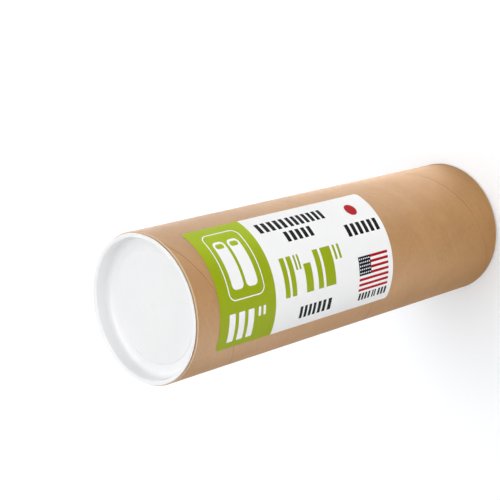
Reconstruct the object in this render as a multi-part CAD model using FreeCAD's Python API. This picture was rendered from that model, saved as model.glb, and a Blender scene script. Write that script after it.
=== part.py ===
import FreeCAD, Part
import math
import os

# A round kraft board tube for posting rolled papers, closed by a plug cap at each end.
# It stands on its far cap. Z is the tube's axis, and Z = 0 is the far cap's outer face.
# The middle of the label faces -Y. All sizes are millimetres and degrees.

INCH = 25.4

# The board tube, wound in a spiral and cut to length
BORE_DIAMETER = 4.0 * INCH
WALL = 0.09 * INCH
TUBE_LENGTH = 13.0 * INCH
CUT_EDGE_BREAK = 0.2

# The butt seam of the outer ply, one right-handed spiral from end to end
SEAM_LEAD = 143.4
SEAM_START_ANGLE = -153.8
SEAM_WIDTH = 0.6
SEAM_DEPTH = 0.18

# The moulded end caps: a flange on a low neck, which seats on the tube's cut end, and a
# dished plug in the bore
HEAD_HEIGHT = 1.8
NECK_HEIGHT = 1.0
NECK_SHOULDER = 0.7
FLANGE_INSET = 0.8
FLANGE_EDGE_ROUND = 0.5
PLUG_CLEARANCE = 0.1
PLUG_DEPTH = 10.5
PLUG_DRAFT = 0.4
SHELL = 1.3
MOUTH_ROUND = 1.2
FLOOR_ROUND = 4.0
DISC_MARGIN = 5.2
DISC_RISE = 0.6
DISC_SLOPE = 0.8
GATE_DIAMETER = 5.0
GATE_DEPTH = 0.25

# The paper label
LABEL_LENGTH = 178.2
LABEL_WIDTH = 92.7
LABEL_FROM_NEAR_END = 20.0
LABEL_THICKNESS = 0.12
LABEL_CORNER = 2.8
GLUE_GAP = 0.03
LABEL_MIDDLE_ANGLE = -90.0

# Radii and heights that follow from the sizes above
BORE_RADIUS = BORE_DIAMETER / 2
TUBE_RADIUS = BORE_RADIUS + WALL
FLANGE_RADIUS = TUBE_RADIUS - FLANGE_INSET
PLUG_RADIUS = BORE_RADIUS - PLUG_CLEARANCE
NECK_RADIUS = PLUG_RADIUS + NECK_SHOULDER
FAR_SEAT = HEAD_HEIGHT
NEAR_SEAT = FAR_SEAT + TUBE_LENGTH


def point(radius, height):
    """A point of a half section, in the XZ plane."""
    return FreeCAD.Vector(radius, 0, height)


def turned(outline):
    """The solid of revolution that an outline in the XZ plane sweeps about Z."""
    face = Part.Face(outline)
    return face.revolve(FreeCAD.Vector(0, 0, 0), FreeCAD.Vector(0, 0, 1), 360)


def corner_arc(before, corner, after, radius):
    """The start, middle and end of the arc that rounds a corner of an outline."""
    back = (before - corner).normalize()
    ahead = (after - corner).normalize()
    half_angle = back.getAngle(ahead) / 2
    reach = radius / math.tan(half_angle)
    bisector = (back + ahead).normalize()
    middle = corner + bisector * (radius / math.sin(half_angle) - radius)
    return corner + back * reach, middle, corner + ahead * reach


def rounded_outline(corners):
    """A closed wire through (point, radius) corners, each rounded by its own radius."""
    edges = []
    arcs = []
    count = len(corners)
    for index, (corner, radius) in enumerate(corners):
        before = corners[index - 1][0]
        after = corners[(index + 1) % count][0]
        if radius > 0:
            arcs.append(corner_arc(before, corner, after, radius))
        else:
            arcs.append((corner, None, corner))
    for index, (start, middle, end) in enumerate(arcs):
        if middle is not None:
            edges.append(Part.Arc(start, middle, end).toShape())
        next_start = arcs[(index + 1) % count][0]
        if (next_start - end).Length > 1e-6:
            edges.append(Part.LineSegment(end, next_start).toShape())
    return Part.Wire(edges)


def seam_cutter():
    """A V-shaped strip along the spiral seam, which runs past both ends of the tube."""
    overrun = SEAM_WIDTH * 2
    run = TUBE_LENGTH + 2 * overrun
    spine = Part.makeHelix(SEAM_LEAD, run, TUBE_RADIUS)
    lead_angle = math.degrees(math.atan2(SEAM_LEAD, 2 * math.pi * TUBE_RADIUS))
    clear = SEAM_DEPTH
    half_width = SEAM_WIDTH / 2 * (SEAM_DEPTH + clear) / SEAM_DEPTH
    section = Part.makePolygon([
        FreeCAD.Vector(TUBE_RADIUS - SEAM_DEPTH, 0, 0),
        FreeCAD.Vector(TUBE_RADIUS + clear, 0, half_width),
        FreeCAD.Vector(TUBE_RADIUS + clear, 0, -half_width),
        FreeCAD.Vector(TUBE_RADIUS - SEAM_DEPTH, 0, 0),
    ])
    section.rotate(FreeCAD.Vector(TUBE_RADIUS, 0, 0), FreeCAD.Vector(1, 0, 0), lead_angle)
    strip = Part.Wire(spine.Edges).makePipeShell([section], True, True)
    overrun_turn = 360 * overrun / SEAM_LEAD
    strip.rotate(FreeCAD.Vector(0, 0, 0), FreeCAD.Vector(0, 0, 1), SEAM_START_ANGLE - overrun_turn)
    strip.translate(FreeCAD.Vector(0, 0, FAR_SEAT - overrun))
    return strip


def paper_tube():
    """The wound board tube, with its cut edges just broken and the outer ply's seam."""
    section = rounded_outline([
        (point(BORE_RADIUS, FAR_SEAT), CUT_EDGE_BREAK),
        (point(TUBE_RADIUS, FAR_SEAT), CUT_EDGE_BREAK),
        (point(TUBE_RADIUS, NEAR_SEAT), CUT_EDGE_BREAK),
        (point(BORE_RADIUS, NEAR_SEAT), CUT_EDGE_BREAK),
    ])
    return turned(section).cut(seam_cutter())


def end_cap():
    """An end cap with its neck seated on the plane Z = 0 and its plug below it."""
    top = HEAD_HEIGHT
    floor = -(PLUG_DEPTH - SHELL)
    mouth_radius = PLUG_RADIUS - SHELL
    floor_radius = mouth_radius - PLUG_DRAFT
    disc_radius = floor_radius - FLOOR_ROUND - DISC_MARGIN
    section = rounded_outline([
        (point(0, floor + DISC_RISE), 0),
        (point(disc_radius, floor + DISC_RISE), DISC_SLOPE),
        (point(disc_radius + DISC_SLOPE, floor), DISC_SLOPE),
        (point(floor_radius, floor), FLOOR_ROUND),
        (point(mouth_radius, top), MOUTH_ROUND),
        (point(FLANGE_RADIUS, top), FLANGE_EDGE_ROUND),
        (point(FLANGE_RADIUS, NECK_HEIGHT), 0),
        (point(NECK_RADIUS, NECK_HEIGHT), 0),
        (point(NECK_RADIUS, 0), 0),
        (point(PLUG_RADIUS, 0), 0),
        (point(PLUG_RADIUS - PLUG_DRAFT, floor - SHELL), FLOOR_ROUND + SHELL),
        (point(disc_radius + DISC_SLOPE, floor - SHELL), DISC_SLOPE),
        (point(disc_radius, floor + DISC_RISE - SHELL), DISC_SLOPE),
        (point(0, floor + DISC_RISE - SHELL), 0),
    ])
    gate = Part.makeCylinder(
        GATE_DIAMETER / 2,
        GATE_DEPTH * 2,
        FreeCAD.Vector(0, 0, floor + DISC_RISE - GATE_DEPTH),
    )
    return turned(section).cut(gate)


def near_end_cap():
    """The cap at the top, which closes the end beside the label."""
    cap = end_cap()
    cap.translate(FreeCAD.Vector(0, 0, NEAR_SEAT))
    return cap


def far_end_cap():
    """The cap that the tube stands on, turned over."""
    cap = end_cap()
    cap.rotate(FreeCAD.Vector(0, 0, 0), FreeCAD.Vector(1, 0, 0), 180)
    cap.translate(FreeCAD.Vector(0, 0, FAR_SEAT))
    return cap


def label():
    """The paper label, bent round the tube, with small round corners."""
    inner = TUBE_RADIUS + GLUE_GAP
    outer = inner + LABEL_THICKNESS
    top = NEAR_SEAT - LABEL_FROM_NEAR_END
    bottom = top - LABEL_LENGTH
    arc = math.degrees(LABEL_WIDTH / inner)
    face = Part.Face(Part.makePolygon([
        point(inner, bottom),
        point(outer, bottom),
        point(outer, top),
        point(inner, top),
        point(inner, bottom),
    ]))
    sheet = face.revolve(FreeCAD.Vector(0, 0, 0), FreeCAD.Vector(0, 0, 1), arc)
    sheet.rotate(FreeCAD.Vector(0, 0, 0), FreeCAD.Vector(0, 0, 1), LABEL_MIDDLE_ANGLE - arc / 2)
    corner_edges = [edge for edge in sheet.Edges if abs(edge.Length - LABEL_THICKNESS) < 1e-4]
    return sheet.makeFillet(LABEL_CORNER, corner_edges)


def main():
    os.makedirs("parts", exist_ok=True)
    nodes = {
        "paper_tube": paper_tube(),
        "near_end_cap": near_end_cap(),
        "far_end_cap": far_end_cap(),
        "label": label(),
    }
    for name, shape in nodes.items():
        shape.exportStep("parts/" + name + ".step")
        box = shape.BoundBox
        print(name, shape.isValid(), len(shape.Solids), len(shape.Faces), round(shape.Volume, 1),
              [round(value, 3) for value in (box.XMin, box.YMin, box.ZMin, box.XMax, box.YMax, box.ZMax)])


main()
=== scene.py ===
import math

import bpy
from mathutils import Matrix, Vector, noise


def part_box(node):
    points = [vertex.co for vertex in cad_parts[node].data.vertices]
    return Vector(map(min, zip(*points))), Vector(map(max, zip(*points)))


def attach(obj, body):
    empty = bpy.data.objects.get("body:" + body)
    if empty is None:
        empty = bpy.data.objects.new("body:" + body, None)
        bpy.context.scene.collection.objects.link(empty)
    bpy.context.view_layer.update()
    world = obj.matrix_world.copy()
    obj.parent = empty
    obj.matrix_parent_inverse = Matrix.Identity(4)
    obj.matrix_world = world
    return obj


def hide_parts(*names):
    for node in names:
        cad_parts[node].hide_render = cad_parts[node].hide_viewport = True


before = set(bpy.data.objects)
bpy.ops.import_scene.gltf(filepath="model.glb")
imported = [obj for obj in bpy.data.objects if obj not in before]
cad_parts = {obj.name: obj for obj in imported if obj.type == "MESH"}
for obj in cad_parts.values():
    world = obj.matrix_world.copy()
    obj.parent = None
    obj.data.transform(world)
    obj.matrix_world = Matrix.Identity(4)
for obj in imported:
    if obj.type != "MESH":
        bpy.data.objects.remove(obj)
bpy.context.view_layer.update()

# The looks of a kraft mailing tube that stands on its far cap: board, caps and printed label.
# Lengths are metres. The label's print and the object's textures are laid out in millimetres.

MM = 0.001
TURN = 2 * math.pi

# Sizes that the frame gives
tube_low, tube_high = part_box("paper_tube")
label_low, label_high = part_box("label")
near_low, near_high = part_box("near_end_cap")
TUBE_RADIUS = tube_high.x
TUBE_BOTTOM = tube_low.z
TUBE_TOP = tube_high.z
HEAD_HEIGHT = near_high.z - TUBE_TOP
FLANGE_RADIUS = near_high.x
PLUG_DEPTH = TUBE_TOP - near_low.z
LABEL_TOP = label_high.z
LABEL_BOTTOM = label_low.z

# The board tube. An edge step is a ring of points on the cut edge's rounding, as the share of
# its radius that the ring stands out.
WALL = 2.286 * MM
BORE_RADIUS = TUBE_RADIUS - WALL
EDGE_BREAK = 0.2 * MM
EDGE_STEPS = (0.0, 0.35, 0.75)
PLIES = 6
PLY_DIP = 0.05 * MM
PLY_JOINT_HALF = 0.07 * MM
OUTER_ROWS = 150
BORE_ROWS = 48

# The spiral seam of the outer ply, which passes SEAM_START at the tube's bottom. Its groove is
# given as (place in half widths, share of the depth).
SEAM_LEAD = 143.4 * MM
SEAM_START = math.radians(-153.8)
SEAM_WIDTH = 0.6 * MM
SEAM_DEPTH = 0.18 * MM
SEAM_SLOPE = math.atan2(SEAM_LEAD, TURN * TUBE_RADIUS)
GROOVE = ((-1.6, 0.0), (-1.0, 0.0), (-0.5, 0.5), (0.0, 1.0), (0.5, 0.5), (1.0, 0.0), (1.6, 0.0))
COLUMNS_OFF_SEAM = 250

# The board's waviness. A ridge is an inner ply's joint: radians round from the seam, and its
# height in millimetres. A wave is how fine it is, and its height in millimetres. The drop, also
# millimetres, sets the skin back by about what they raise it.
PLY_RIDGES = ((2.1, 0.035), (4.2, 0.025))
RIDGE_HALF = 3.0 * MM
WAVES = ((1.7, 0.05), (5.0, 0.02))
SWELL_DROP = 0.06
SWELL_FADE = 4 * MM

# The end caps
PLUG_CLEARANCE = 0.1 * MM
PLUG_RADIUS = BORE_RADIUS - PLUG_CLEARANCE
PLUG_DRAFT = 0.4 * MM
SHELL = 1.3 * MM
NECK_HEIGHT = 1.0 * MM
NECK_SHOULDER = 0.7 * MM
NECK_RADIUS = PLUG_RADIUS + NECK_SHOULDER
FLANGE_EDGE_ROUND = 0.5 * MM
FLANGE_UNDER_ROUND = 0.15 * MM
MOUTH_ROUND = 1.2 * MM
FLOOR_ROUND = 4.0 * MM
DISC_MARGIN = 5.2 * MM
DISC_RISE = 0.6 * MM
DISC_SLOPE = 0.8 * MM
DISC_ROUND = 1.3 * MM
GATE_RADIUS = 2.5 * MM
GATE_DEPTH = 0.25 * MM
GATE_ROUND = 0.08 * MM
CAP_COLUMNS = 240
LONGEST_RUN = 3 * MM
ROUND_STEPS = 7

# The label. A corner band is how far down the round corner a row of points lies.
LABEL_WIDTH = 92.7 * MM
LABEL_CORNER = 2.8 * MM
LABEL_THICKNESS = 0.12 * MM
GLUE_GAP = 0.03 * MM
LABEL_MIDDLE = math.radians(-90)
LABEL_ROWS = 120
LABEL_COLUMNS = 72
CORNER_BANDS = (0.0, 0.03, 0.12, 0.28, 0.5, 0.75)

SHARP_EDGE = math.radians(35)

# The print on the label: millimetres from its near edge, and down from its upper edge.
# A box is (left, right, top, bottom). The green has painted light: lighter towards the upper side,
# from the lower to the upper place given. A blur is how far an edge of the print fades.
GREEN_FIELD_END = 52.8
GREEN_PAINTED_LIGHT = (40.0, 10.0)
FRAME_BOX = (9.8, 43.4, 7.3, 58.6)
FRAME_CORNER = 6.0
FRAME_LINE = 0.85
TUBE_ICONS = ((14.4, 25.0, 15.3, 51.5), (27.6, 38.2, 15.3, 51.5))
ICON_CORNER = 3.6
ICON_MOUTH_SIDE = 1.7
ICON_MOUTH_TOP = 2.0
ICON_MOUTH_BOTTOM = 6.0
ICON_MOUTH_CORNER = 1.95
GAUGE_CORNER = 0.8
GAUGE_BARS = (
    (8.6, 14.2, 66.8, 87.4), (17.4, 23.0, 66.8, 87.4), (26.2, 31.8, 66.8, 87.4),
    (36.0, 38.2, 66.8, 73.6), (40.6, 42.8, 66.8, 73.6),
)
SCALE_CORNER = 0.5
SCALE_BARS = (
    (62.6, 67.2, 38.8, 67.0), (69.4, 74.0, 38.8, 67.0),
    (76.4, 78.2, 38.8, 49.6), (79.8, 81.6, 38.8, 49.6),
    (84.0, 91.2, 46.6, 67.0), (96.4, 101.6, 38.8, 67.0), (104.2, 114.6, 38.8, 67.0),
    (117.2, 119.4, 38.8, 49.6), (121.8, 124.0, 38.8, 49.6),
)
# A run of blocks is a box and how many blocks share it. The gap is a share of their pitch.
DARK_RUNS = (
    ((60.6, 88.4, 8.3, 17.3), 5), ((91.2, 127.4, 8.3, 17.3), 7), ((79.6, 106.6, 20.3, 28.7), 5),
    ((78.4, 94.8, 76.4, 85.8), 4), ((97.0, 105.2, 76.4, 85.8), 2),
    ((107.6, 111.2, 76.4, 85.8), 1), ((138.6, 173.2, 26.8, 36.6), 6),
    ((142.0, 154.6, 80.6, 86.6), 4), ((157.0, 161.0, 80.6, 86.6), 2),
    ((163.6, 173.0, 80.6, 86.6), 3),
)
BLOCK_GAP = 0.38
DOT_CENTRE = (156.4, 15.3)
DOT_RADIUS = 5.4
FLAG_BOX = (140.2, 173.0, 52.7, 78.7)
FLAG_STRIPES = 13
CANTON_STRIPES = 7
CANTON_END = 153.4
STAR_RADIUS = 0.55
STAR_COLUMNS = 6
STAR_ROWS = 5
STAR_MARGIN = 0.2
BOX_BLUR = 0.06
INK_BLUR = 0.05
FIELD_BLUR = 0.03

# Colours, as linear red, green and blue
KRAFT_LIGHT = (0.492, 0.268, 0.103)
KRAFT_DARK = (0.382, 0.193, 0.068)
KRAFT_FLECK = (0.200, 0.095, 0.040)
CUT_EDGE = (0.700, 0.510, 0.330)
BORE_BOARD = (0.430, 0.270, 0.150)
CAP_WHITE = (0.840, 0.843, 0.850)
PAPER_WHITE = (0.925, 0.927, 0.930)
INK_GREEN = (0.325, 0.410, 0.010)
# A painted lit copy of the green, for the label's upper side
INK_GREEN_PAINTED_LIT = (0.400, 0.520, 0.010)
INK_DARK = (0.006, 0.006, 0.007)
INK_RED = (0.420, 0.004, 0.012)
INK_NAVY = (0.008, 0.009, 0.020)
FLOOR_GREY = (0.76, 0.78, 0.81)
FLOOR_PALE = (0.78, 0.80, 0.83)
FLOOR_DIM = (0.12, 0.12, 0.12)
FLOOR_BRIGHT = (0.80, 0.80, 0.80)
PLAIN_WHITE = (1, 1, 1, 1)

# Noises: how fine, in all directions or in x, y and z, then detail and roughness. They are per
# millimetre, but the floor's is per metre.
FIBRE_NOISE = ((2.0, 2.0, 0.40), 2.0, 0.5)
STREAK_NOISE = ((0.30, 0.30, 0.025), 2.0, 0.5)
CLOUD_NOISE = (0.045, 2.0, 0.55)
MOTTLE_NOISE = (0.35, 3.0, 0.6)
GRAIN_NOISE = (5.0, 2.0, 0.6)
SPECK_NOISE = ((1.4, 1.4, 0.55), 1.0, 0.5)
WORN_NOISE = (0.03, 2.0, 0.6)
RIPPLE_NOISE = (0.06, 1.0, 0.4)
MOULD_NOISE = (1.8, 3.0, 0.6)
PLASTIC_NOISE = (0.12, 2.0, 0.5)
PAPER_NOISE = ((1.2, 2.4, 1.0), 3.0, 0.6)
HAZE_NOISE = ((0.08, 0.08, 1.0), 2.0, 0.5)
FLOOR_NOISE = (60, 2.0, 0.5)

# The kraft's masks, each with where it is 0 and where it is 1. Those off the seam, the bore and
# the neck are millimetres, and those of a ply's joint are shares of a ply.
TONE_SHARES = (0.22, 0.18, 0.32, 0.28)
TONE_RANGE = (0.24, 0.76)
SPECK_RANGE = (0.70, 0.80)
SPECK_SHARE = 0.35
SEAM_LINE_RANGE = (0.34, 0.08)
SEAM_SIDE_RANGE = (3.0, 0.3)
SEAM_SIDE_SHARE = 0.10
WORN_RANGE = (0.40, 0.62)
SEAM_FAINTEST = 0.36
SEAM_DARKER = 0.38
BORE_RANGE = (0.15, 0.02)
BORE_SHADE = 0.82
# The pale lip at each cut end: frayed skin, and partly a painted highlight along the edge
LIP_WIDTH = 1.1
LIP_FRAY = 0.5
LIP_SOFTNESS = 0.35
LIP_DEPTH = 0.4
LIP_SHARE = 0.90
CUT_FACING_RANGE = (0.6, 0.85)
PLY_JOINT_RANGE = (0.20, 0.02)
PLY_JOINT_SHARE = 0.5
PLY_GRAIN_SHARE = 0.2
# Painted shadow on the cut end under the flange, darker towards the neck
FLANGE_SHADOW_RANGE = (0.55, 0.15)
FLANGE_SHADOW_SHARE = 0.85
KRAFT_ROUGHNESS = 0.52
KRAFT_ROUGHER = 0.12
KRAFT_RELIEF_SHARES = (0.25, 0.55, 0.5)

# Bumps: how deep, in millimetres, and how strong
KRAFT_BUMP = (0.05, 0.7)
RIPPLE_BUMP = (0.6, 0.5)
MOULD_BUMP = (0.012, 0.6)
PAPER_BUMP = (0.006, 0.6)

# The cap's plastic: its cloudiness, and the mould's turning marks with their pitch in millimetres
PLASTIC_SHADE = 0.965
PLASTIC_ROUGHNESS = 0.20
PLASTIC_ROUGHER = 0.08
TURNING_PITCH = 0.7
TURNING_WANDER = 0.8
TURNING_SHARE = 0.12

# The label's paper and ink
PAPER_SHADE = 0.98
PAPER_SHARES = (0.6, 0.4)
PAPER_ROUGHNESS = 0.36
PAPER_ROUGHER = 0.10
INK_SMOOTHER = -0.06
GREEN_SHADE = 0.4
GREEN_SHADE_SHARE = 0.10

# The camera, found from the outline of the tube in the photograph
CAMERA_PLACE = Vector((-15.8, -726.4, 904.8)) * MM
CAMERA_TARGET = Vector((21.0, -0.5, 223.4)) * MM
CAMERA_ROLL = math.radians(104.31)
CAMERA_LENS = 98.65
CAMERA_SENSOR = 36.0
CAMERA_NEAREST = 0.01
CAMERA_FARTHEST = 50.0

# The floor, and the surround's strength as light from its two sides
FLOOR_HALF = 4.0
FLOOR_LEAN = (0.65, -0.76, 0)
FLOOR_LEAN_RANGE = (-0.12, 0.12)
FLOOR_GLOW = 0.23
SURROUND_SIDE = (0.94, 0.34, 0.0)
SURROUND_BRIGHT = 0.72
SURROUND_DIM = 0.12

# Broad far lights: side in degrees round the tube, lift in degrees above the floor, level
LIGHT_SPREAD = math.radians(32)
FAR_LIGHTS = (
    ("key", 0, 56, 0.15),
    ("top", 0, 86, 0.42),
    ("front", -127, 9, 0.45),
    ("beside", -40, 8, 0.08),
    ("back", 110, 8, 0.28),
)

# Soft lights that lie on the floor: middle and size in metres, power in watts, and whether
# gloss alone sees them
PANEL_LIFT = 0.002
FLOOR_PANELS = (
    ("panel_beside", (0.32, 0.12), 0.46, 0.46, False),
    ("sheen_beside", (0.28, -0.03), 0.44, 2.30, True),
    ("sheen_beyond", (0.74, -0.05), 0.44, 9.00, True),
    ("sheen_behind", (0.20, 0.25), 0.36, 0.40, True),
    ("sheen_far", (0.42, 0.50), 0.40, 3.60, True),
    ("sheen_before", (-0.26, -0.23), 0.30, 1.70, True),
    ("sheen_below", (-0.62, -0.14), 0.40, 8.00, True),
)


# Meshes

def seam_angle(height):
    """The angle round the tube at which the seam passes a height."""
    return SEAM_START + TURN * (height - TUBE_BOTTOM) / SEAM_LEAD


def tube_swell(angle, height):
    """How far the wound board stands out of true at a place."""
    wound = angle - seam_angle(height)
    swell = 0.0
    for place, rise in PLY_RIDGES:
        off = math.remainder(wound - place, TURN) * TUBE_RADIUS / RIDGE_HALF
        swell += rise * math.exp(-off * off)
    spot = Vector((math.cos(angle), math.sin(angle), height / TUBE_RADIUS))
    for fineness, rise in WAVES:
        swell += rise * noise.noise(spot * fineness)
    fade = min(1.0, (height - TUBE_BOTTOM) / SWELL_FADE, (TUBE_TOP - height) / SWELL_FADE)
    return (swell - SWELL_DROP) * MM * max(0.0, fade)


def mesh_object(name, points, faces, material):
    """A mesh object that is smooth-shaded but for its sharp edges."""
    mesh = bpy.data.meshes.new(name)
    mesh.from_pydata([tuple(point) for point in points], [], faces)
    mesh.validate()
    mesh.materials.append(material)
    mesh.polygons.foreach_set("use_smooth", [True] * len(mesh.polygons))
    mesh.set_sharp_from_angle(angle=SHARP_EDGE)
    return placed(name, mesh)


def placed(name, data):
    """A new object in the scene with the given mesh, light or camera."""
    made = bpy.data.objects.new(name, data)
    bpy.context.scene.collection.objects.link(made)
    return made


def ring_faces(rows, columns, closed_rows):
    """Quads between rings of points, with the last ring joined to the first if closed_rows."""
    faces = []
    for row in range(rows if closed_rows else rows - 1):
        here = row * columns
        above = (row + 1) % rows * columns
        for column in range(columns):
            beside = (column + 1) % columns
            faces.append((here + column, here + beside, above + beside, above + column))
    return faces


def tube_section():
    """The board tube's closed section from the outside up, as (radius, height, wall it is on)."""
    section = []
    low, high = TUBE_BOTTOM, TUBE_TOP
    straight = high - low - 2 * EDGE_BREAK
    for share in EDGE_STEPS:
        lean = 1 - math.sqrt(1 - share ** 2)
        section.append((TUBE_RADIUS - EDGE_BREAK * (1 - share), low + EDGE_BREAK * lean, "edge"))
    for row in range(OUTER_ROWS + 1):
        height = low + EDGE_BREAK + straight * row / OUTER_ROWS
        section.append((TUBE_RADIUS, height, "outside"))
    for share in reversed(EDGE_STEPS):
        lean = 1 - math.sqrt(1 - share ** 2)
        section.append((TUBE_RADIUS - EDGE_BREAK * (1 - share), high - EDGE_BREAK * lean, "edge"))
    section += [(radius, high - dip, "cut") for radius, dip in ply_rings()]
    section.append((BORE_RADIUS + EDGE_BREAK, high, "edge"))
    for row in range(BORE_ROWS + 1):
        height = high - EDGE_BREAK - straight * row / BORE_ROWS
        section.append((BORE_RADIUS, height, "inside"))
    section.append((BORE_RADIUS + EDGE_BREAK, low, "edge"))
    section += [(radius, low + dip, "cut") for radius, dip in reversed(ply_rings())]
    return section


def ply_rings():
    """Rings across a cut end, from the outside in, with a dip between the plies."""
    rings = []
    ply = WALL / PLIES
    for joint in range(1, PLIES):
        middle = TUBE_RADIUS - joint * ply
        rings += [(middle + PLY_JOINT_HALF, 0.0), (middle, PLY_DIP), (middle - PLY_JOINT_HALF, 0.0)]
    return rings


def seam_columns():
    """Angles round from the seam, closer together across its groove, with the groove's depth."""
    reach = SEAM_WIDTH / 2 / math.sin(SEAM_SLOPE) / TUBE_RADIUS
    columns = [(reach * place, share * SEAM_DEPTH) for place, share in GROOVE]
    first = columns[-1][0]
    last = TURN + columns[0][0]
    for index in range(1, COLUMNS_OFF_SEAM):
        columns.append((first + (last - first) * index / COLUMNS_OFF_SEAM, 0.0))
    return columns


def build_tube(material):
    """The board tube as one closed mesh whose columns follow the spiral seam."""
    columns = seam_columns()
    section = tube_section()
    points = []
    for radius, height, wall in section:
        for turn, depth in columns:
            angle = seam_angle(height) + turn
            reach = radius
            if wall == "outside":
                reach += tube_swell(angle, height) - depth
            elif wall == "edge" and radius > (TUBE_RADIUS + BORE_RADIUS) / 2:
                reach = min(radius, TUBE_RADIUS - depth)
            points.append((reach * math.cos(angle), reach * math.sin(angle), height))
    faces = ring_faces(len(section), len(columns), True)
    return mesh_object("board_tube", points, faces, material)


def rounded_section(corners):
    """A section of (radius, height, rounding) corners, with each rounding as points on its arc."""
    points = []
    for index, (radius, height, rounding) in enumerate(corners):
        corner = Vector((radius, height))
        if rounding <= 0:
            points.append(corner)
            continue
        before = (Vector(corners[index - 1][:2]) - corner).normalized()
        after = (Vector(corners[index + 1][:2]) - corner).normalized()
        half = before.angle(after) / 2
        middle = corner + (before + after).normalized() * (rounding / math.sin(half))
        start = corner + before * (rounding / math.tan(half)) - middle
        end = corner + after * (rounding / math.tan(half)) - middle
        sweep = start.angle_signed(end)
        for step in range(ROUND_STEPS + 1):
            points.append(middle + Matrix.Rotation(-sweep * step / ROUND_STEPS, 2) @ start)
    return points


def spread(points):
    """The same section with long straight runs divided."""
    fine = [points[0]]
    for before, after in zip(points, points[1:]):
        parts = max(1, math.ceil((after - before).length / LONGEST_RUN))
        fine += [before.lerp(after, step / parts) for step in range(1, parts + 1)]
    return fine


def cap_section():
    """An end cap's section from the middle of its dish, round the flange, to under its floor."""
    floor = -(PLUG_DEPTH - SHELL)
    mouth = PLUG_RADIUS - SHELL
    floor_radius = mouth - PLUG_DRAFT
    disc = floor_radius - FLOOR_ROUND - DISC_MARGIN
    corners = [
        (0, floor + DISC_RISE - GATE_DEPTH, 0),
        (GATE_RADIUS, floor + DISC_RISE - GATE_DEPTH, GATE_ROUND),
        (GATE_RADIUS, floor + DISC_RISE, GATE_ROUND),
        (disc, floor + DISC_RISE, DISC_ROUND),
        (disc + DISC_SLOPE, floor, DISC_ROUND),
        (floor_radius, floor, FLOOR_ROUND),
        (mouth, HEAD_HEIGHT, MOUTH_ROUND),
        (FLANGE_RADIUS, HEAD_HEIGHT, FLANGE_EDGE_ROUND),
        (FLANGE_RADIUS, NECK_HEIGHT, FLANGE_UNDER_ROUND),
        (NECK_RADIUS, NECK_HEIGHT, 0),
        (NECK_RADIUS, 0, 0),
        (PLUG_RADIUS, 0, 0),
        (PLUG_RADIUS - PLUG_DRAFT, floor - SHELL, FLOOR_ROUND + SHELL),
        (disc + DISC_SLOPE, floor - SHELL, DISC_SLOPE),
        (disc, floor + DISC_RISE - SHELL, DISC_SLOPE),
        (0, floor + DISC_RISE - SHELL, 0),
    ]
    return spread(rounded_section(corners))


def build_cap(name, seat, outward, material):
    """An end cap whose neck seats at a height and whose dish opens up (1) or down (-1)."""
    section = cap_section()
    rings = section[1:-1]
    points = [(0, 0, seat + outward * section[0].y)]
    for ring in rings:
        height = seat + outward * ring.y
        for column in range(CAP_COLUMNS):
            angle = outward * TURN * column / CAP_COLUMNS
            points.append((ring.x * math.cos(angle), ring.x * math.sin(angle), height))
    points.append((0, 0, seat + outward * section[-1].y))
    bands = ring_faces(len(rings), CAP_COLUMNS, False)
    faces = [tuple(1 + corner for corner in reversed(band)) for band in bands]
    last = len(points) - 1
    last_ring = 1 + (len(rings) - 1) * CAP_COLUMNS
    for column in range(CAP_COLUMNS):
        beside = (column + 1) % CAP_COLUMNS
        faces.append((0, 1 + column, 1 + beside))
        faces.append((last, last_ring + beside, last_ring + column))
    return mesh_object(name, points, faces, material)


def label_heights():
    """The heights of the label's rows of points, closer together at its round corners."""
    straight = LABEL_TOP - LABEL_BOTTOM - 2 * LABEL_CORNER
    steps = LABEL_ROWS - 2 * len(CORNER_BANDS)
    heights = [LABEL_TOP - LABEL_CORNER * band for band in CORNER_BANDS]
    heights += [LABEL_TOP - LABEL_CORNER - straight * step / steps for step in range(steps + 1)]
    heights += [LABEL_BOTTOM + LABEL_CORNER * band for band in reversed(CORNER_BANDS)]
    return heights


def label_points(heights, lift):
    """One face of the label: rows of points that stand off the board by a lift."""
    points = []
    for height in heights:
        inset = max(0.0, LABEL_CORNER - min(LABEL_TOP - height, height - LABEL_BOTTOM))
        trim = LABEL_CORNER - math.sqrt(max(0.0, LABEL_CORNER ** 2 - inset ** 2))
        half = LABEL_WIDTH / 2 - trim
        for column in range(LABEL_COLUMNS + 1):
            angle = LABEL_MIDDLE + half * (2 * column / LABEL_COLUMNS - 1) / TUBE_RADIUS
            reach = TUBE_RADIUS + tube_swell(angle, height) + lift
            points.append((reach * math.cos(angle), reach * math.sin(angle), height))
    return points


def build_label(material):
    """The label as a thin closed sheet that follows the board, with round corners."""
    heights = label_heights()
    points = label_points(heights, GLUE_GAP)
    back = len(points)
    points += label_points(heights, GLUE_GAP + LABEL_THICKNESS)
    width = LABEL_COLUMNS + 1
    last_row = len(heights) - 1
    faces = []
    for row in range(last_row):
        for column in range(LABEL_COLUMNS):
            here = row * width + column
            inner = (here, here + 1, here + 1 + width, here + width)
            faces.append(inner)
            faces.append(tuple(back + corner for corner in reversed(inner)))
    rim = list(range(LABEL_COLUMNS))
    rim += [row * width + LABEL_COLUMNS for row in range(last_row)]
    rim += [last_row * width + column for column in range(LABEL_COLUMNS, 0, -1)]
    rim += [row * width for row in range(last_row, 0, -1)]
    for here, beside in zip(rim, rim[1:] + rim[:1]):
        faces.append((beside, here, back + here, back + beside))
    return mesh_object("label_sheet", points, faces, material)


# Materials

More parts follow.
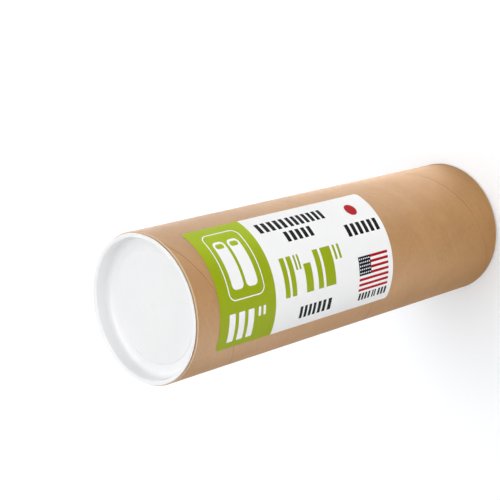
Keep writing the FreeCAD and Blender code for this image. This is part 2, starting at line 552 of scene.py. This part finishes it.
class Shader:
    """Adds nodes to one material or world. An input is a socket or a plain value."""

    def __init__(self, owner):
        owner.use_nodes = True
        self.owner = owner
        self.tree = owner.node_tree
        self.tree.nodes.clear()

    def node(self, kind, inputs=(), **settings):
        made = self.tree.nodes.new("ShaderNode" + kind)
        for name, value in settings.items():
            setattr(made, name, value)
        for name, value in dict(inputs).items():
            self.feed(made.inputs[name], value)
        return made

    def feed(self, socket, value):
        if isinstance(value, bpy.types.NodeSocket):
            self.tree.links.new(value, socket)
        else:
            socket.default_value = value

    def math(self, operation, *values):
        return self.node("Math", enumerate(values), operation=operation).outputs[0]

    def total(self, start, *parts):
        """A start value and the sum of (value, share) pairs."""
        for value, share in parts:
            start = self.math("MULTIPLY_ADD", value, share, start)
        return start

    def vector(self, operation, *values):
        made = self.node("VectorMath", enumerate(values), operation=operation)
        return made.outputs["Value" if operation in ("LENGTH", "DOT_PRODUCT") else "Vector"]

    def mix(self, factor, low, high):
        """The colour low where factor is 0 and high where it is 1."""
        def colour(value):
            return value if isinstance(value, bpy.types.NodeSocket) else (*value, 1.0)
        made = self.node("Mix", {0: factor, 6: colour(low), 7: colour(high)}, data_type="RGBA")
        return made.outputs[2]

    def fade(self, value, start, end):
        """0 where value is at start and 1 where it is at end, smooth between."""
        inputs = {"Value": value, "From Min": start, "From Max": end}
        return self.node("MapRange", inputs, interpolation_type="SMOOTHSTEP").outputs[0]

    def noise(self, place, fineness, detail, rough):
        """Soft noise from 0 to 1, as fine in every direction or by x, y and z."""
        scale = fineness if isinstance(fineness, tuple) else (fineness, fineness, fineness)
        spot = self.vector("MULTIPLY", place, scale)
        inputs = {"Vector": spot, "Scale": 1.0, "Detail": detail, "Roughness": rough}
        return self.node("TexNoise", inputs).outputs["Fac"]

    def place(self):
        """The place on the object, in metres of the row's frame."""
        return self.node("TexCoord").outputs["Object"]

    def place_mm(self):
        """The place on the object, in millimetres of the row's frame."""
        return self.vector("MULTIPLY", self.place(), (1 / MM, 1 / MM, 1 / MM))

    def split(self, vector):
        return self.node("SeparateXYZ", {0: vector}).outputs

    def join(self, x, y, z=0.0):
        return self.node("CombineXYZ", {0: x, 1: y, 2: z}).outputs[0]

    def bump(self, height, bump, normal=None):
        depth_mm, strength = bump
        inputs = {"Height": height, "Distance": depth_mm * MM, "Strength": strength}
        if normal is not None:
            inputs["Normal"] = normal
        return self.node("Bump", inputs).outputs[0]

    def end(self, kind, surface):
        """Feeds the output of a material or a world."""
        output = self.node("Output" + kind)
        self.tree.links.new(surface.outputs[0], output.inputs["Surface"])

    def finish(self, **inputs):
        """Ends the material in one Principled shader."""
        names = {name.replace("_", " "): value for name, value in inputs.items()}
        self.end("Material", self.node("BsdfPrincipled", names))
        return self.owner


def darker(colour, share):
    """A plain colour at a share of its brightness."""
    return tuple(share * part for part in colour)


def kraft_material():
    """Kraft board: its spiral-wound skin with the seam, its bore, and the plies at its cut ends."""
    s = Shader(bpy.data.materials.new("kraft_board_finish"))
    place = s.place_mm()
    x, y, z = s.split(place)
    wound = wound_place(s, place, z)
    radius = s.vector("LENGTH", s.join(x, y))

    fibre = s.noise(wound, *FIBRE_NOISE)
    streak = s.noise(wound, *STREAK_NOISE)
    cloud = s.noise(place, *CLOUD_NOISE)
    mottle = s.noise(place, *MOTTLE_NOISE)
    grain = s.noise(place, *GRAIN_NOISE)
    tone = s.total(0.0, *zip((fibre, streak, cloud, mottle), TONE_SHARES))
    tone = s.fade(tone, *TONE_RANGE)

    colour = s.mix(tone, KRAFT_DARK, KRAFT_LIGHT)
    colour = with_specks(s, colour, wound)
    colour = with_seam(s, colour, place, wound)
    colour = with_bore(s, colour, tone, radius)
    colour = with_lip_and_highlight(s, colour, grain, radius, z)
    colour = with_cut_end(s, colour, grain, radius)

    rough = s.total(KRAFT_ROUGHNESS, (fibre, KRAFT_ROUGHER), (mottle, KRAFT_ROUGHER))
    relief = s.total(0.0, *zip((grain, fibre, streak), KRAFT_RELIEF_SHARES))
    normal = s.bump(relief, KRAFT_BUMP)
    return s.finish(Base_Color=colour, Roughness=rough, Normal=normal, Specular_IOR_Level=0.30)


def wound_place(s, place, z):
    """The place turned back by the spiral's climb, so that the seam is at +X all the way up."""
    climb = s.total(TURN * TUBE_BOTTOM / SEAM_LEAD - SEAM_START, (z, -TURN / (SEAM_LEAD / MM)))
    turned = s.node("VectorRotate", {"Vector": place, "Angle": climb}, rotation_type="Z_AXIS")
    return turned.outputs[0]


def with_specks(s, colour, wound):
    """The colour with scattered dark specks of fibre."""
    specks = s.fade(s.noise(wound, *SPECK_NOISE), *SPECK_RANGE)
    return s.mix(s.math("MULTIPLY", specks, SPECK_SHARE), colour, KRAFT_FLECK)


def with_seam(s, colour, place, wound):
    """The colour with the seam's dark line, fainter where it is tight, and paler board beside it."""
    toward, across, _ = s.split(wound)
    off_seam = s.math("MULTIPLY", s.math("ABSOLUTE", across), math.sin(SEAM_SLOPE))
    seam_side = s.math("GREATER_THAN", toward, 0.0)
    line = s.math("MULTIPLY", s.fade(off_seam, *SEAM_LINE_RANGE), seam_side)
    beside = s.math("MULTIPLY", s.fade(off_seam, *SEAM_SIDE_RANGE), seam_side)
    colour = s.mix(s.math("MULTIPLY", beside, SEAM_SIDE_SHARE), colour, KRAFT_LIGHT)
    worn = s.fade(s.noise(place, *WORN_NOISE), *WORN_RANGE)
    depth = s.total(SEAM_FAINTEST, (worn, SEAM_DARKER))
    return s.mix(s.math("MULTIPLY", line, depth), colour, KRAFT_FLECK)


def with_bore(s, colour, tone, radius):
    """The colour with the plainer board of the bore."""
    start, end = BORE_RANGE
    bore = s.fade(radius, BORE_RADIUS / MM + start, BORE_RADIUS / MM + end)
    return s.mix(bore, colour, s.mix(tone, darker(BORE_BOARD, BORE_SHADE), BORE_BOARD))


def with_lip_and_highlight(s, colour, grain, radius, z):
    """The colour with a pale lip at each cut end: frayed skin and a painted edge highlight."""
    from_middle = s.math("ABSOLUTE", s.math("SUBTRACT", z, (TUBE_TOP + TUBE_BOTTOM) / 2 / MM))
    half_length = (TUBE_TOP - TUBE_BOTTOM) / 2 / MM
    frayed = s.total(half_length - LIP_WIDTH, (grain, LIP_FRAY))
    lip = s.fade(s.math("SUBTRACT", from_middle, frayed), 0.0, LIP_SOFTNESS)
    outside = s.math("GREATER_THAN", radius, TUBE_RADIUS / MM - LIP_DEPTH)
    lip = s.math("MULTIPLY", s.math("MULTIPLY", lip, outside), LIP_SHARE)
    return s.mix(lip, colour, CUT_EDGE)


def with_cut_end(s, colour, grain, radius):
    """The colour with the cream plies of a cut end, and a painted shadow under the flange."""
    facing = s.split(s.node("NewGeometry").outputs["Normal"])[2]
    cut = s.fade(s.math("ABSOLUTE", facing), *CUT_FACING_RANGE)
    ply = s.math("DIVIDE", s.math("SUBTRACT", radius, BORE_RADIUS / MM), WALL / MM / PLIES)
    joints = s.fade(s.math("PINGPONG", ply, 0.5), *PLY_JOINT_RANGE)
    shade = s.total(0.0, (grain, PLY_GRAIN_SHARE), (joints, PLY_JOINT_SHARE))
    plies = s.mix(shade, CUT_EDGE, KRAFT_DARK)
    # Painted shadow: the cut end is darker where the flange overhangs it
    start, end = FLANGE_SHADOW_RANGE
    flange_shadow = s.fade(radius, NECK_RADIUS / MM + start, NECK_RADIUS / MM + end)
    plies = s.mix(s.math("MULTIPLY", flange_shadow, FLANGE_SHADOW_SHARE), plies, KRAFT_FLECK)
    return s.mix(cut, colour, plies)


def cap_material():
    """White moulded plastic: satin gloss, faint turning marks and a slow ripple from cooling."""
    s = Shader(bpy.data.materials.new("cap_plastic_finish"))
    place = s.place_mm()
    x, y, _ = s.split(place)
    radius = s.vector("LENGTH", s.join(x, y))
    ripple = s.noise(place, *RIPPLE_NOISE)
    fine = s.noise(place, *MOULD_NOISE)
    turned = s.math("MULTIPLY", radius, TURN / TURNING_PITCH)
    rings = s.math("SINE", s.total(turned, (fine, TURNING_WANDER)))
    cloud = s.noise(place, *PLASTIC_NOISE)
    colour = s.mix(cloud, darker(CAP_WHITE, PLASTIC_SHADE), CAP_WHITE)
    rough = s.total(PLASTIC_ROUGHNESS, (fine, PLASTIC_ROUGHER))
    slow = s.bump(ripple, RIPPLE_BUMP)
    normal = s.bump(s.total(fine, (rings, TURNING_SHARE)), MOULD_BUMP, slow)
    return s.finish(
        Base_Color=colour, Roughness=rough, Normal=normal, IOR=1.49, Specular_IOR_Level=0.35,
        Subsurface_Weight=0.12, Subsurface_Scale=1.5 * MM, Subsurface_Radius=(1.0, 1.0, 1.0),
    )


def box_mask(s, spot, box, corner=0.0):
    """1 inside a box of the print, with round corners."""
    left, right, top, bottom = box
    centre = ((left + right) / 2, (top + bottom) / 2, 0)
    half = ((right - left) / 2 - corner, (bottom - top) / 2 - corner, 0)
    off = s.vector("ABSOLUTE", s.vector("SUBTRACT", spot, centre))
    beyond = s.vector("MAXIMUM", s.vector("SUBTRACT", off, half), (0, 0, 0))
    return s.fade(s.vector("LENGTH", beyond), corner + BOX_BLUR, corner)


def run_mask(s, spot, box, count):
    """1 inside a run of like blocks that share a box."""
    left, right, _, _ = box
    pitch = (right - left) / (count - BLOCK_GAP)
    reach = s.math("MODULO", s.math("SUBTRACT", s.split(spot)[0], left), pitch)
    half = pitch * (1 - BLOCK_GAP) / 2
    beyond = s.math("SUBTRACT", s.math("ABSOLUTE", s.math("SUBTRACT", reach, half)), half)
    return s.math("MULTIPLY", box_mask(s, spot, box), s.fade(beyond, INK_BLUR, 0.0))


def either(s, masks):
    """1 where any mask is."""
    whole = masks[0]
    for mask in masks[1:]:
        whole = s.math("MAXIMUM", whole, mask)
    return whole


def without(s, mask, hole):
    """The mask with a hole in it."""
    return s.math("MULTIPLY", mask, s.math("SUBTRACT", 1.0, hole))


def frame_mask(s, spot):
    """A plain outline with round corners."""
    left, right, top, bottom = FRAME_BOX
    inner = (left + FRAME_LINE, right - FRAME_LINE, top + FRAME_LINE, bottom - FRAME_LINE)
    hole = box_mask(s, spot, inner, FRAME_CORNER - FRAME_LINE)
    return without(s, box_mask(s, spot, FRAME_BOX, FRAME_CORNER), hole)


def icon_mask(s, spot, box):
    """A standing tube: a tall body with its open mouth near the top."""
    left, right, top, _ = box
    mouth = (
        left + ICON_MOUTH_SIDE, right - ICON_MOUTH_SIDE,
        top + ICON_MOUTH_TOP, top + ICON_MOUTH_BOTTOM,
    )
    hole = box_mask(s, spot, mouth, ICON_MOUTH_CORNER)
    return without(s, box_mask(s, spot, box, ICON_CORNER), hole)


def dot_mask(s, off, radius):
    """1 within a radius of the place that off is measured from."""
    return s.fade(s.vector("LENGTH", off), radius + INK_BLUR, radius - INK_BLUR)


def star_mask(s, spot, canton):
    """Small dots in even rows and columns."""
    left, right, top, bottom = canton
    across = (right - left) / (STAR_COLUMNS + 2 * STAR_MARGIN)
    down = (bottom - top) / (STAR_ROWS + 2 * STAR_MARGIN)
    first = (left + STAR_MARGIN * across, top + STAR_MARGIN * down, 0)
    cell = s.vector("DIVIDE", s.vector("SUBTRACT", spot, first), (across, down, 1))
    cell = s.vector("FRACTION", cell)
    off = s.vector("MULTIPLY", s.vector("SUBTRACT", cell, (0.5, 0.5, 0)), (across, down, 0))
    field = (first[0], right - STAR_MARGIN * across, first[1], bottom - STAR_MARGIN * down)
    return s.math("MULTIPLY", dot_mask(s, off, STAR_RADIUS), box_mask(s, spot, field))


def with_flag(s, colour, paper, spot, down):
    """The colour with the striped flag and the red dot above it."""
    left, _, top, bottom = FLAG_BOX
    stripe = (bottom - top) / FLAG_STRIPES
    band = s.math("MODULO", s.math("DIVIDE", s.math("SUBTRACT", down, top), stripe), 2.0)
    red_band = s.math("MULTIPLY", s.math("LESS_THAN", band, 1.0), box_mask(s, spot, FLAG_BOX))
    dot = dot_mask(s, s.vector("SUBTRACT", spot, (*DOT_CENTRE, 0)), DOT_RADIUS)
    colour = s.mix(either(s, [dot, red_band]), colour, INK_RED)
    canton = (left, CANTON_END, top, top + CANTON_STRIPES * stripe)
    colour = s.mix(box_mask(s, spot, canton), colour, INK_NAVY)
    return s.mix(star_mask(s, spot, canton), colour, paper)


def label_material():
    """Coated white paper with its print: green field, plain bars and blocks, red dot and flag."""
    s = Shader(bpy.data.materials.new("label_paper_finish"))
    x, y, z = s.split(s.place_mm())
    upper_edge = (LABEL_MIDDLE * TUBE_RADIUS + LABEL_WIDTH / 2) / MM
    down = s.total(upper_edge, (s.math("ARCTAN2", y, x), -TUBE_RADIUS / MM))
    along = s.math("SUBTRACT", LABEL_TOP / MM, z)
    spot = s.join(along, down)

    fibre = s.noise(spot, *PAPER_NOISE)
    tint = s.total(0.0, *zip((s.noise(spot, *HAZE_NOISE), fibre), PAPER_SHARES))
    paper = s.mix(tint, darker(PAPER_WHITE, PAPER_SHADE), PAPER_WHITE)
    # Painted light: the green is lighter towards the label's upper side, where the light falls
    green = s.mix(s.fade(down, *GREEN_PAINTED_LIGHT), INK_GREEN, INK_GREEN_PAINTED_LIT)
    shaded = s.math("MULTIPLY", tint, GREEN_SHADE_SHARE)
    green = s.mix(shaded, green, darker(INK_GREEN, GREEN_SHADE))

    field = s.fade(along, GREEN_FIELD_END + FIELD_BLUR, GREEN_FIELD_END - FIELD_BLUR)
    colour = s.mix(field, paper, green)
    white = [frame_mask(s, spot)]
    white += [icon_mask(s, spot, box) for box in TUBE_ICONS]
    white += [box_mask(s, spot, box, GAUGE_CORNER) for box in GAUGE_BARS]
    colour = s.mix(either(s, white), colour, paper)
    scale = either(s, [box_mask(s, spot, box, SCALE_CORNER) for box in SCALE_BARS])
    colour = s.mix(scale, colour, green)
    dark = either(s, [run_mask(s, spot, box, count) for box, count in DARK_RUNS])
    colour = s.mix(dark, colour, INK_DARK)
    colour = with_flag(s, colour, paper, spot, down)

    inked = s.math("MAXIMUM", dark, scale)
    rough = s.total(PAPER_ROUGHNESS, (fibre, PAPER_ROUGHER), (inked, INK_SMOOTHER))
    normal = s.bump(fibre, PAPER_BUMP)
    return s.finish(Base_Color=colour, Roughness=rough, Normal=normal, Specular_IOR_Level=0.018)


# Stage, light and camera

def seen_directly(s):
    """1 for what the camera, gloss or glass sees."""
    path = s.node("LightPath").outputs
    rays = ("Is Camera Ray", "Is Glossy Ray", "Is Transmission Ray")
    return either(s, [path[ray] for ray in rays])


def build_floor():
    """A pale floor that keeps the object's shadow and is white elsewhere. It sends less light up
    to the object from behind and from the photograph's lower side."""
    s = Shader(bpy.data.materials.new("floor_finish"))
    grain = s.noise(s.place(), *FLOOR_NOISE)
    lean = s.vector("DOT_PRODUCT", s.place(), FLOOR_LEAN)
    bounced = s.mix(s.fade(lean, *FLOOR_LEAN_RANGE), FLOOR_DIM, FLOOR_BRIGHT)
    plain = s.node("BsdfDiffuse", {"Color": bounced})
    shade = s.node("BsdfDiffuse", {"Color": s.mix(grain, FLOOR_GREY, FLOOR_PALE)})
    glow = s.node("Emission", {"Color": PLAIN_WHITE, "Strength": FLOOR_GLOW})
    lit = s.node("AddShader", {0: shade.outputs[0], 1: glow.outputs[0]})
    shaders = {0: seen_directly(s), 1: plain.outputs[0], 2: lit.outputs[0]}
    s.end("Material", s.node("MixShader", shaders))
    half = FLOOR_HALF
    corners = [(-half, -half, 0), (half, -half, 0), (half, half, 0), (-half, half, 0)]
    floor = mesh_object("floor", corners, [(0, 1, 2, 3)], s.owner)


def build_world():
    """A white surround, whose light on the object is stronger from the photograph's upper side."""
    world = bpy.data.worlds.new("surround")
    bpy.context.scene.world = world
    s = Shader(world)
    way = s.node("TexCoord").outputs["Generated"]
    lean = s.vector("DOT_PRODUCT", way, SURROUND_SIDE)
    levels = {"From Min": -1.0, "From Max": 1.0, "To Min": SURROUND_DIM, "To Max": SURROUND_BRIGHT}
    level = s.node("MapRange", {"Value": lean, **levels})
    ambient = s.node("Background", {"Color": PLAIN_WHITE, "Strength": level.outputs[0]})
    white = s.node("Background", {"Color": PLAIN_WHITE, "Strength": 1.0})
    shaders = {0: seen_directly(s), 1: ambient.outputs[0], 2: white.outputs[0]}
    s.end("World", s.node("MixShader", shaders))


def far_light(name, side, lift, level):
    """A broad far light from a side round the tube and a lift above the floor."""
    lamp = bpy.data.lights.new(name, "SUN")
    lamp.angle = LIGHT_SPREAD
    lamp.energy = math.pi * level
    made = placed(name, lamp)
    side, lift = math.radians(side), math.radians(lift)
    flat = math.cos(lift)
    way = Vector((math.cos(side) * flat, math.sin(side) * flat, math.sin(lift)))
    made.location = way
    made.rotation_euler = way.to_track_quat("Z", "Y").to_euler()


def floor_panel(name, middle, size, power, gloss_only):
    """A soft light that lies on the floor beside the tube, shines up and doesn't show itself."""
    lamp = bpy.data.lights.new(name, "AREA")
    lamp.shape = "SQUARE"
    lamp.size = size
    lamp.energy = power
    made = placed(name, lamp)
    made.location = (*middle, PANEL_LIFT)
    made.rotation_euler = (math.pi, 0, 0)
    made.visible_camera = False
    made.visible_diffuse = not gloss_only


def build_lights():
    for values in FAR_LIGHTS:
        far_light(*values)
    for values in FLOOR_PANELS:
        floor_panel(*values)


def build_camera():
    """The photograph's camera, rolled so that the tube lies in the picture as it does there."""
    camera = bpy.data.cameras.new("camera")
    camera.lens = CAMERA_LENS
    camera.sensor_width = CAMERA_SENSOR
    camera.clip_start = CAMERA_NEAREST
    camera.clip_end = CAMERA_FARTHEST
    made = placed("camera", camera)
    ahead = (CAMERA_TARGET - CAMERA_PLACE).normalized()
    level = ahead.cross(Vector((0, 0, 1))).normalized()
    below = ahead.cross(level)
    right = math.cos(CAMERA_ROLL) * level + math.sin(CAMERA_ROLL) * below
    down = -math.sin(CAMERA_ROLL) * level + math.cos(CAMERA_ROLL) * below
    turn = Matrix((right, -down, -ahead)).transposed()
    made.matrix_world = Matrix.Translation(CAMERA_PLACE) @ turn.to_4x4()
    bpy.context.scene.camera = made


def main():
    kraft = kraft_material()
    plastic = cap_material()
    paper = label_material()
    tube = build_tube(kraft)
    near_cap = build_cap("near_cap_shell", TUBE_TOP, 1, plastic)
    far_cap = build_cap("far_cap_shell", TUBE_BOTTOM, -1, plastic)
    sheet = build_label(paper)
    pieces = (
        (tube, "paper_tube", "tube", "kraft_board"),
        (near_cap, "near_end_cap", "near_cap", "cap_plastic"),
        (far_cap, "far_end_cap", "far_cap", "cap_plastic"),
        (sheet, "label", "tube", "label_paper"),
    )
    for piece, node, body, slot in pieces:
        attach(piece, body)
        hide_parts(node)
    build_floor()
    build_world()
    build_lights()
    build_camera()
    bpy.context.scene.view_settings.view_transform = "Standard"


main()
